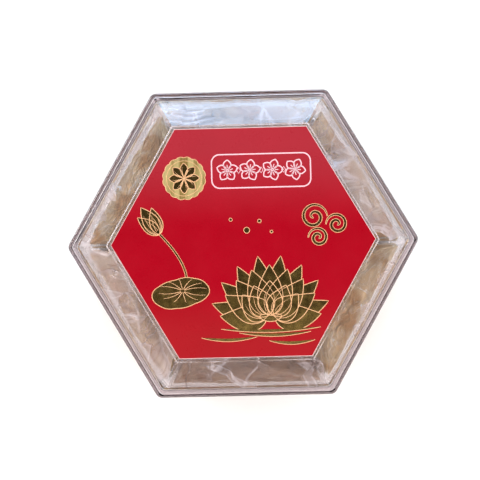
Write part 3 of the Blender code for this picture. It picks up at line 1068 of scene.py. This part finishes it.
def make_nest(number, strands, body_points, contrast, specks):
    """One nest: body and strands in one mesh, with a tone for every point."""
    phase = PHASES[number - 1]
    rng = np.random.default_rng(300 + number)
    body, sides, fans = nest_body(phase, *body_points)
    inner, wisps = strands // 16, strands // 14
    laid = strands - inner - wisps
    layers = [
        strand_paths(laid, phase, rng),
        strand_paths(inner, phase, rng, outside=False),
        strand_paths(wisps, phase, rng, loose=1.0),
    ]
    paths, normals, tone = (np.concatenate(parts) for parts in zip(*layers))
    radius = rng.uniform(0.14, 0.36, (strands, 1)) * MM
    radius[laid + inner :] += 0.20 * MM
    tone *= 0.8 * contrast
    tone[laid + inner :] = contrast
    radius[:specks] = 0.35 * MM
    centre = paths[:specks, STRAND_STEPS // 2].copy()[:, None]
    paths[:specks] = centre + 0.15 * (paths[:specks] - centre)
    paths[:specks] += normals[:specks] * 0.5 * MM
    tone[:specks] = -1.0
    tubes, quads, caps = strand_tubes(paths, normals, radius)
    points = np.concatenate([body, tubes])
    # Paler towards the front of the nest, under the card's edge: painted light, lifting the
    # shade that the card casts there.
    painted_light_under_card = 0.4 * np.clip((62 * MM - points[:, 1]) / (5 * MM), 0, 1)
    points = turned_to_side(points, number)
    quads = np.concatenate([sides, quads + len(body)])
    caps = np.concatenate([fans, caps + len(body)])
    nest = mesh_object(f"woven_nest_{number}", points, [quads, caps], sharp_angle=None)
    tones = np.repeat(tone, STRAND_STEPS * STRAND_SIDES)
    tones = np.concatenate([np.zeros(len(body)), tones])
    add_point_values(nest, "tone", np.where(tones < 0, tones, np.minimum(tones + painted_light_under_card, 1.0)))
    add_point_values(nest, "age_and_shade", np.full(len(points), AGES_AND_SHADE[number - 1]))
    return nest


# %% [markdown]
# Dried strands look like pale amber gelatine. Thick places and old strands are browner.
# The tone stored on each strand sets them apart, a slow noise gives the tan patches, and
# a little scattering under the surface lets light through the thin ones. The tone is also
# raised towards the front of each nest, as painted light under the card's edge. The nests
# differ a little in tone, and the -Y nest is painted much browner, as painted shade for
# that side. Tones below zero mark the few specks of down that cleaning left behind.

# %% Nest material and the six nests
def nest_strand_material():
    """Amber to white by tone, browner for some nests and much browner on the -Y side as painted
    shade, with tan patches and dark specks.
    """
    material, shader = new_material(
        "dried_strands",
        Roughness=0.30,
        Subsurface_Weight=0.15,
        Subsurface_Radius=(1.0, 0.6, 0.35),
        Subsurface_Scale=0.0008,
        IOR=1.5,
    )
    where = place(material)
    tone = stored(material, "tone")
    pale = blend_colours(material, tone, (0.68, 0.50, 0.28, 1), (1.0, 1.0, 0.97, 1))
    # The stored number browns a whole nest: a little for some, and much for the -Y nest, where
    # it is painted shade.
    pale = blend_colours(material, stored(material, "age_and_shade"), pale, (0.24, 0.115, 0.05, 1))
    slow = noise(material, where, 15 * MM, detail=2)
    patches = remap(material, slow, 0.48, 0.66, smooth=True)
    warm = blend_colours(material, patches, (1, 1, 1, 1), (0.76, 0.55, 0.34, 1))
    colour = blend_colours(material, 1.0, pale, warm, kind="MULTIPLY")
    speck = remap(material, tone, -0.6, -0.4, 1.0, 0.0)
    dark = blend_colours(material, speck, colour, (0.10, 0.06, 0.035, 1))
    drive(material, shader, "Base Color", dark)
    fine = noise(material, where, 0.6 * MM, detail=3)
    bump(material, shader, fine, 0.05 * MM)
    return material


STRANDS = nest_strand_material()
BARE = {"strands": 3200, "body_points": (100, 40, 120), "contrast": 1.0}
COVERED = {"strands": 1300, "body_points": (80, 30, 90), "contrast": 0.5}
NEST_PLANS = (COVERED, BARE, COVERED, COVERED, BARE, COVERED)
SPECKS = (1, 2, 3, 7, 2, 1)
for number, (plan, specks) in enumerate(zip(NEST_PLANS, SPECKS), start=1):
    nest = make_nest(number, **plan, specks=specks)
    finish_piece(nest, STRANDS, f"nest_{number}", slot="nest_strands")

# %% [markdown]
# ## Film
#
# Each nest lies in its own sheet of frosted plastic film, about four hundredths of a
# millimetre thick, crisp enough to crackle. It runs over the floor, turns up behind the
# nest, and on four sides folds back over it. On the other two only a narrow fold ends it.
# A cloth simulation would give soft folds, but crisp film keeps flat facets between sharp
# creases, and pleats where it is gathered.
#
# The facets come from distances: take the squared distance to the nearest of one set of
# seeds, less that to the nearest of a second set. The squares of the place itself cancel,
# so what is left is exactly flat inside each facet and creased between them. A pleat is a
# stretch where the sheet doubles back on itself, made by letting the sideways place run
# backwards for a moment while the sheet steps up by a fraction of a millimetre. A flap is
# a corner of the sheet turned down flat, twice as frosty and white along its folds.

# %% Film functions
FILM_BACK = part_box("film_wrap_1")[1].y + 1.1 * MM
FILM_FLOOR = FLOOR_TOP + 0.55 * MM
FILM_INNER = 40.0 * MM
FILM_HEIGHT = 38.0 * MM
FILM_LIFT = 4.6 * MM
FILM_BEND = 3.0 * MM
FILM_SIDE_GAP = 0.8 * MM
FILM_LIMIT = TRAY_INRADIUS - TRAY_TAPER - TRAY_WALL - 0.3 * MM
HIP_SEED = 40
FILM_SEED = 500
FILM_GRID = (210, 210)  # points across the sheet and along it
PLEAT = 0.017  # half width of a pleat, as a share of the sheet's width
PLEAT_STEP = 0.45 * MM
UNDER_FACET = np.array([row[:2] for row in lid_corners()[-3:-1]])[::-1]
print(f"film back {FILM_BACK / MM:.2f} mm out")


def facets(across, onward, cell, rng, stretch=1.0):
    """Flat facets about cell wide, as heights of about a third of cell either way.

    near(A)^2 - near(B)^2, where near is the distance to the nearest seed of a set.
    """
    spread = np.array([across.max() - across.min(), onward.max() - onward.min()]) + 2 * cell
    count = max(3, int(spread[0] * spread[1] / (cell * cell * stretch)))
    origin = np.array([across.min(), onward.min()]) - cell
    where = np.stack([across.ravel(), onward.ravel() / stretch], -1)
    near = []
    for _ in range(2):
        seeds = origin + rng.random((count, 2)) * spread
        seeds[:, 1] /= stretch
        gaps = (where[:, None, :] - seeds[None, :, :]) ** 2
        near.append(gaps.sum(-1).min(1))
    return ((near[0] - near[1]) / cell).reshape(across.shape)


def film_line(over, lean):
    """The sheet's middle line as arrays: length so far, y, z and the two parts of its normal.

    Straight over the floor, a quarter circle up, a wall that leans in by lean at the top,
    and a quarter ellipse, over wide and FILM_LIFT high, back over the nest.
    """
    turn = np.linspace(0, math.pi / 2, 24)
    bend_y, bend_z = FILM_BACK - FILM_BEND, FILM_FLOOR + FILM_BEND
    rise = np.linspace(0, 1, 60)[1:]
    y = [np.linspace(FILM_INNER, bend_y, 60)[:-1], bend_y + FILM_BEND * np.sin(turn),
         FILM_BACK - lean * rise**2]
    z = [np.full(59, FILM_FLOOR), bend_z - FILM_BEND * np.cos(turn),
         bend_z + (FILM_HEIGHT - bend_z) * rise]
    y.append(FILM_BACK - lean - over * (1 - np.cos(turn[1:])))
    z.append(FILM_HEIGHT + min(FILM_LIFT, over / 2) * np.sin(turn[1:]))
    y, z = np.concatenate(y), np.concatenate(z)
    length = np.concatenate(([0], np.cumsum(np.hypot(np.diff(y), np.diff(z)))))
    smooth_y, smooth_z = np.gradient(y, length), np.gradient(z, length)
    return length, y, z, -smooth_z, smooth_y


def crowded(count, centres, width):
    """Numbers from 0 to 1, five times as close together around the centres."""
    u = np.linspace(0, 1, 2001)
    density = 1 + sum(4 * np.exp(-(((u - c) / (2.2 * width)) ** 2)) for c in centres)
    total = np.concatenate(([0], np.cumsum((density[1:] + density[:-1]) / 2)))
    return np.interp(np.linspace(0, total[-1], count), total, u)


def hip_wave(hip, outwards):
    """How far the seam between two sheets strays from the corner line, at a place out."""
    rng = np.random.default_rng(HIP_SEED + hip % SIDES)
    a, b = rng.uniform(0, math.tau, 2)
    reach = outwards / MM
    return (1.6 * np.sin(reach / 4.7 + a) + 0.8 * np.sin(reach / 1.9 + b)) * MM


def kept_inside(points):
    """Points kept off the tray's three nearest walls, its floor and the lid above.

    A point past a wall goes straight back to it. Heights run into the lid's underside
    softly: room - k * ln(1 + exp((room - z) / k)), with k of half a millimetre.
    """
    for turn in (0.0, SIDE_ANGLE, -SIDE_ANGLE):
        out = np.array([math.sin(turn), math.cos(turn), 0.0])
        past = np.maximum(points @ out - FILM_LIMIT, 0.0)
        points = points - past[..., None] * out
    room = np.interp(points[..., 1], *UNDER_FACET.T) - 0.5 * MM
    k = 0.5 * MM
    points[..., 2] = room - k * np.logaddexp(0.0, (room - points[..., 2]) / k)
    points[..., 2] = np.maximum(points[..., 2], FILM_FLOOR - 0.3 * MM)
    return points


def depth_inside(x, y, corners):
    """How far each place lies inside a convex polygon: its least distance to a side."""
    corners = np.array(corners) * MM
    onward = np.roll(corners, -1, 0) - corners
    onward /= np.hypot(*onward.T)[:, None]
    turn = np.sign(onward[0, 0] * onward[1, 1] - onward[0, 1] * onward[1, 0])
    depths = [
        turn * (ex * (y - cy) - ey * (x - cx)) for (cx, cy), (ex, ey) in zip(corners, onward)
    ]
    return np.min(np.broadcast_arrays(*depths), 0)


def torn_edge(u, tear):
    """How ragged the end is across the sheet: four sines, plus short straight tears."""
    sines = zip((0.40, 0.30, 0.18, 0.12), (7, 17, 41, 83), tear)
    edge = sum(height * np.sin(waves * u + start) for height, waves, start in sines)
    steps = np.abs(((u * 5.3 + tear[0]) % 1.0) - 0.35)
    return edge + 1.2 * steps - 0.9


def pleated(u, v, fade, pleats):
    """How the pleats sway the sheet sideways and raise it, q being the place in a pleat.

    sway: -depth * q * exp(-q^2)
    rise: step * (1 + tanh(1.4 q)) / 2, and past the middle * exp(-q^2 / 14)
    """
    sway, rise = 0.0, 0.0
    for place_at, depth, fan in pleats:
        q = (u - place_at) / PLEAT
        grown = fade * np.clip(1 + fan * (2 * v - 1), 0, 2)
        sway = sway - depth * grown * q * np.exp(-q * q)
        step = PLEAT_STEP * grown * (1 + np.tanh(1.4 * q)) / 2
        rise = rise + step * np.exp(-np.maximum(q, 0) ** 2 / 14)
    return sway, rise


def bent_lines(heights):
    """Size of the second differences both ways: large only where two facets meet."""
    bent = np.abs(np.gradient(np.gradient(heights, axis=0), axis=0))
    return bent + np.abs(np.gradient(np.gradient(heights, axis=1), axis=1))


def flap_white(x, y, corners):
    """A turned flap: frosty all over, and whitest along its folds."""
    depth = depth_inside(x, y, corners)
    doubled = 0.42 * np.clip(0.5 + depth / (0.5 * MM), 0, 1)
    return doubled + 0.55 * np.exp(-((depth / (0.32 * MM)) ** 2))


def thin_share(x, y, thin):
    """A patch w by d wide around (a, b): exp(-((x - a) / w)^4 - ((y - b) / d)^4)."""
    (middle_x, middle_y), (wide, deep) = np.array(thin) * MM
    away = ((x - middle_x) / wide) ** 4 + ((y - middle_y) / deep) ** 4
    return np.exp(-away)


def ruffle_share(reach, length):
    """Where the extra small folds lie along the sheet: in its last third."""
    share = reach / length[-1]
    return np.clip((share - 0.68) / 0.06, 0, 1) * np.clip((0.97 - share) / 0.06, 0, 1)


def make_film(number, over, lean, ragged, pleats, ruffle=None, fold=0.0, tan=0.0,
              thin=None, flaps=()):
    """One sheet, with its flat size and its area.

    pleats lists (place from 0 to 1, depth, how it fans from foot to top). ruffle is where
    a patch of small folds with painted glints lies, fold how white the top fold is, tan
    how brown the sheet is painted, which on the -Y sheet is painted shade, thin a patch
    where the nest shows through, and flaps the turned corners.
    """
    rng = np.random.default_rng(FILM_SEED + number)
    columns, rows = FILM_GRID
    length, line_y, line_z, line_ny, line_nz = film_line(over, lean)
    u = crowded(columns, [place_at for place_at, _, _ in pleats], PLEAT)[None, :]
    v = np.linspace(0, 1, rows)[:, None]
    tear = rng.uniform(0, math.tau, 4)
    end = length[-1] + ragged * torn_edge(u, tear)
    reach = v * np.minimum(end, length[-1])
    y = np.interp(reach, length, line_y)
    z = np.interp(reach, length, line_z)
    normal = np.stack([np.interp(reach, length, line_ny), np.interp(reach, length, line_nz)])
    normal /= np.hypot(*normal)
    flat_half = y * math.tan(HALF_SIDE_ANGLE) - FILM_SIDE_GAP
    high = flat_half + hip_wave(number, y)
    low = -flat_half + hip_wave(number + 1, y)
    x = low + (high - low) * u
    wall_top = np.interp(FILM_HEIGHT, line_z, length)
    on_top = reach > 0.9 * wall_top
    zones = np.array([0.0, 0.5 * wall_top, 0.9 * wall_top, wall_top + 9 * MM])
    fade = np.interp(reach, zones, [0.10, 0.16, 0.34, 1.0])
    sway, rise = pleated(u, v, fade, pleats)

    # The shape: large and small facets, pleats, small folds, and a little push sideways.
    large = 0.26 * facets(x, reach, 24 * MM, rng)
    small = 0.16 * facets(x, reach, 10 * MM, rng, stretch=1.6)
    puckers = np.sin((y - 63 * MM) / (0.45 * MM) + 3 * np.sin(x / (6 * MM)))
    window = np.exp(-(((x - ruffle * MM) / (11 * MM)) ** 2)) if ruffle else 0.0
    window = ruffle_share(reach, length) * window
    push = 2.4 * MM * np.tanh(fade * (large + small) / (2.4 * MM)) + rise
    push = push + 0.5 * MM * puckers * window
    side_push = 0.35 * fade * facets(x + 3 * MM, reach, 9 * MM, rng)
    points = np.stack([x + sway + side_push, y + normal[0] * push, z + normal[1] * push], -1)
    points = kept_inside(points)

    # Whiteness: creases, white as stressed film is and also standing in for their glints,
    # painted light on the part that runs under the card's edge, painted glints on the small
    # folds, flaps, and the fold at the top.
    mask = 0.5 + 0.5 * np.sin(x / (7 * MM) + tear[2]) * np.sin(y / (5 * MM) + tear[3])
    whitening_and_painted_light = np.clip(bent_lines(large) / (0.06 * MM) - 0.4, 0, 1) * mask
    whitening_and_painted_light = whitening_and_painted_light * np.clip(fade, 0.3, 1)
    # Painted light where the sheet runs under the card's edge, which shades it.
    whitening_and_painted_light = whitening_and_painted_light + 0.3 * np.clip((61 * MM - y) / (4 * MM), 0, 1) * (reach > wall_top)
    # Painted glints on the crests of the small folds.
    whitening_and_painted_light = whitening_and_painted_light + 1.4 * window * np.clip(puckers, 0, 1) ** 3
    for corners in flaps:
        whitening_and_painted_light = whitening_and_painted_light + flap_white(x, y, corners) * on_top
    along_fold = 0.5 + 0.5 * np.sin(x / (8 * MM) + tear[1])
    whitening_and_painted_light = whitening_and_painted_light + fold * along_fold * np.exp(-(((reach - wall_top) / (0.6 * MM)) ** 2))
    # veil: how frosty the sheet is, low on the floor and wall. The material also paints the
    # sheet darker there by it, as painted shade.
    veil = np.interp(reach, zones, [0.5, 0.3, 0.35, 1.0])
    tan = np.full(reach.shape, tan)
    if thin:
        tan = np.maximum(tan, thin_share(x, y, thin) * on_top)

    points = turned_to_side(points.reshape(-1, 3), number)
    faces = [grid_faces(rows, columns)]
    film = mesh_object(f"film_sheet_{number}", points, faces, sharp_angle=None)
    add_point_values(film, "whitening_and_painted_light", whitening_and_painted_light)
    add_point_values(film, "veil", veil)
    add_point_values(film, "tan", tan)
    cut = np.trapz(2 * (line_y * math.tan(HALF_SIDE_ANGLE) - FILM_SIDE_GAP), length)
    return film, (2 * (FILM_BACK * math.tan(HALF_SIDE_ANGLE)), float(length[-1])), float(cut)


# %% Film material and the six sheets
def frosted_film():
    """Grey film, frosty in clouds, white on its creases and clearer below the top fold.
    It is painted darker on the floor and wall as shade, and painted white as glints and light
    in places.
    """
    material, shader = new_material("frosted_film", IOR=2.4)
    where = place(material)
    whitening_and_painted_light, veil = stored(material, "whitening_and_painted_light"), stored(material, "veil")
    cloud = noise(material, where, 18 * MM, detail=4, roughness=0.6)
    # Darker where veil is low, on the floor and wall: painted shade for the sheet lying in the
    # nest's and the wall's shadow.
    painted_shade_colour = blend_colours(material, veil, (0.36, 0.30, 0.27, 1), (0.54, 0.42, 0.37, 1))
    # Tan: brown where the nest shows through, and painted shade on the -Y sheet.
    painted_shade_colour = blend_colours(material, stored(material, "tan"), painted_shade_colour, (0.20, 0.10, 0.058, 1))
    # White by the stored whitening: real on flaps and folds, partly painted glints on creases,
    # painted glints and light elsewhere.
    colour = blend_colours(material, whitening_and_painted_light, painted_shade_colour, (0.74, 0.71, 0.74, 1))
    drive(material, shader, "Base Color", colour)
    frost = remap(material, cloud, 0.3, 0.7, 0.30, 0.62)
    alpha = calculate(material, "ADD", frost, calculate(material, "MULTIPLY", whitening_and_painted_light, 0.35))
    drive(material, shader, "Alpha", calculate(material, "MULTIPLY", alpha, veil))
    drive(material, shader, "Roughness", remap(material, cloud, 0.3, 0.7, 0.22, 0.36))
    bump(material, shader, noise(material, where, 2.5 * MM, detail=4), 0.06 * MM)
    return material


FROSTED = frosted_film()
FILM_PLANS = (
    {"over": 26 * MM, "lean": 0.9 * MM, "ragged": 3 * MM, "ruffle": -27, "fold": 0.3,
     "thin": ((-20, 67), (15, 4)),
     "flaps": [((-40, 67), (-20, 68.5), (-30, 61)), ((8, 62), (30, 63), (24, 72), (12, 71))],
     "pleats": [(0.07, 3.0 * MM, 0.6), (0.30, 2.4 * MM, 0.5), (0.93, 3.4 * MM, 0.6)]},
    {"over": 6.0 * MM, "lean": 0.5 * MM, "ragged": 5 * MM,
     "pleats": [(0.06, 3.6 * MM, 0.5), (0.45, 2.2 * MM, 0.8), (0.92, 3.4 * MM, 0.6)]},
    {"over": 24 * MM, "lean": 0.9 * MM, "ragged": 3 * MM, "fold": 0.6, "tan": 0.05,
     "flaps": [((5, 72.4), (17, 72), (10, 65)), ((-28, 72.4), (-13, 71.6), (-21, 66))],
     "pleats": [(0.28, 3.2 * MM, -0.5), (0.63, 3.2 * MM, -0.4), (0.83, 3.0 * MM, 0.4)]},
    # The -Y sheet is painted fully tan: painted shade for that side.
    {"over": 28 * MM, "lean": 0.9 * MM, "ragged": 3 * MM, "tan": 1.0,
     "flaps": [((15, 61.5), (-6, 73.4), (0, 73.4), (21, 61.5)),
               ((-27, 61.5), (-37, 73), (-32, 73), (-22, 61.5))],
     "pleats": [(0.10, 2.6 * MM, 0.4), (0.88, 3.0 * MM, 0.4)]},
    {"over": 4.5 * MM, "lean": 0.5 * MM, "ragged": 4 * MM,
     "pleats": [(0.06, 4.0 * MM, 0.6), (0.16, 3.0 * MM, 0.6), (0.94, 2.6 * MM, 0.6)]},
    {"over": 25 * MM, "lean": 0.9 * MM, "ragged": 3 * MM, "fold": 1.0,
     "flaps": [((-25, 70.5), (-8.5, 71.5), (-16, 62.5)), ((8, 66), (12, 61.5), (16, 65))],
     "pleats": [(0.12, 3.0 * MM, 0.5), (0.31, 4.2 * MM, -0.5), (0.62, 2.6 * MM, 0.3),
                (0.84, 3.0 * MM, 0.4)]},
)
for number, plan in enumerate(FILM_PLANS, start=1):
    film, flat, cut = make_film(number, **plan)
    finish_piece(film, FROSTED, f"film_wrap_{number}", slot="frosted_film")

# %% [markdown]
# ## Camera, floor and light
#
# The camera looks straight down from a good arm's length. The floor is a pale sheet.
# Daylight comes from the +Y side as from a window low over the table, and it is what
# brightens the facet there. The ceiling is soft and bright but for a dim patch straight
# above, where someone stands over the box: the foil and the rim mirror it.

# %% Camera
camera_data = bpy.data.cameras.new("camera")
camera_data.lens = 102.08
camera = bpy.data.objects.new("camera", camera_data)
camera.location = (8.6 * MM, -25.5 * MM, 736.6 * MM)
camera.rotation_euler = [math.radians(turn) for turn in (2.21, 0.88, -1.40)]
bpy.context.scene.collection.objects.link(camera)
bpy.context.scene.camera = camera


# %% Floor
def pale_floor():
    """A matt, almost white sheet with a faint grain."""
    material, shader = new_material("pale_floor", Roughness=0.9)
    grain = noise(material, place(material), 3 * MM, detail=2)
    tone = blend_colours(material, grain, (0.91, 0.91, 0.915, 1), (0.93, 0.93, 0.935, 1))
    drive(material, shader, "Base Color", tone)
    return material


FLOOR_HALF = 3.0
corners = np.array([[-1, -1, 0], [1, -1, 0], [1, 1, 0], [-1, 1, 0]]) * FLOOR_HALF
floor = mesh_object("floor", corners, [np.array([[0, 1, 2, 3]])])
floor.data.materials.append(pale_floor())


# %% Light
def soft_light(name, place_at, size, colour, radiance):
    """A square of light that faces the box. Its power follows from the radiance wanted."""
    data = bpy.data.lights.new(name, "AREA")
    data.shape = "RECTANGLE"
    data.size, data.size_y = size
    data.color = colour
    data.energy = radiance * math.pi * size[0] * size[1]
    made = bpy.data.objects.new(name, data)
    made.location = place_at
    aim = Vector((0, 0, 0.03)) - Vector(place_at)
    made.rotation_euler = aim.to_track_quat("-Z", "Y").to_euler()
    bpy.context.scene.collection.objects.link(made)
    return made


def from_side(azimuth, elevation, distance):
    """A place seen from the box at that direction: azimuth 90 is +Y."""
    a, e = math.radians(azimuth), math.radians(elevation)
    return (distance * math.cos(e) * math.cos(a), distance * math.cos(e) * math.sin(a),
            distance * math.sin(e))


soft_light("window", from_side(92, 27, 1.5), (1.1, 0.55), (0.32, 0.64, 1.0), 4.3)
soft_light("room_left", from_side(150, 42, 1.6), (0.5, 0.5), (1.0, 0.95, 0.90), 7.0)
soft_light("room_right", from_side(-10, 42, 1.6), (0.5, 0.5), (1.0, 0.95, 0.91), 5.5)

DIM_CEILING = (0.0, math.sin(math.radians(12)), math.cos(math.radians(12)))


def room_world():
    """A soft room: cool and bright towards +Y, warmer towards -Y, dim overhead.

    On the -Y side a band from 32 to 58 degrees up is brighter. It lights the floor there,
    and the round edges of the lid mirror it as fine lines. All round, a band from 12 to 32
    degrees up is dimmer: the facets mirror it, and would veil the nests otherwise.
    """
    world = bpy.data.worlds.new("room")
    world.use_nodes = True
    background = world.node_tree.nodes["Background"]
    where = node(world, "ShaderNodeTexCoord").outputs["Generated"]
    split = node(world, "ShaderNodeSeparateXYZ", {0: where})
    towards, up = split.outputs["Y"], split.outputs["Z"]
    side = remap(world, towards, -0.9, 0.9, smooth=True)
    tint = blend_colours(world, side, (1.0, 0.92, 0.88, 1), (0.95, 0.98, 1.0, 1))
    lower = remap(world, up, 0.44, 0.54, smooth=True)
    upper = remap(world, up, 0.80, 0.88, 1.0, 0.0, smooth=True)
    near = remap(world, towards, -0.15, 0.05, 1.0, 0.0, smooth=True)
    band = calculate(world, "MULTIPLY", calculate(world, "MULTIPLY", lower, upper), near)
    level = calculate(world, "MULTIPLY_ADD", band, 0.9, 1.45)
    level = calculate(world, "ADD", level, remap(world, side, 0.0, 1.0, 0.0, 0.4))
    rising = remap(world, up, 0.16, 0.26, smooth=True)
    falling = remap(world, up, 0.50, 0.62, 1.0, 0.0, smooth=True)
    dip = calculate(world, "MULTIPLY", rising, falling)
    dip = remap(world, dip, 0.0, 1.0, 1.0, 0.45)
    level = calculate(world, "MULTIPLY", level, dip)
    cap = {0: where, 1: DIM_CEILING}
    cap = node(world, "ShaderNodeVectorMath", cap, operation="DOT_PRODUCT").outputs["Value"]
    overhead = remap(world, cap, 0.86, 0.975, 1.0, 0.03, smooth=True)
    strength = calculate(world, "MULTIPLY", level, overhead)
    world.node_tree.links.new(tint, background.inputs["Color"])
    world.node_tree.links.new(strength, background.inputs["Strength"])
    bpy.context.scene.world = world


room_world()
bpy.context.scene.view_settings.view_transform = "Standard"

# Light has to pass many walls of clear plastic, so it may bounce more than usual.
cycles = bpy.context.scene.cycles
cycles.max_bounces = 24
cycles.transmission_bounces = 24
cycles.transparent_max_bounces = 24
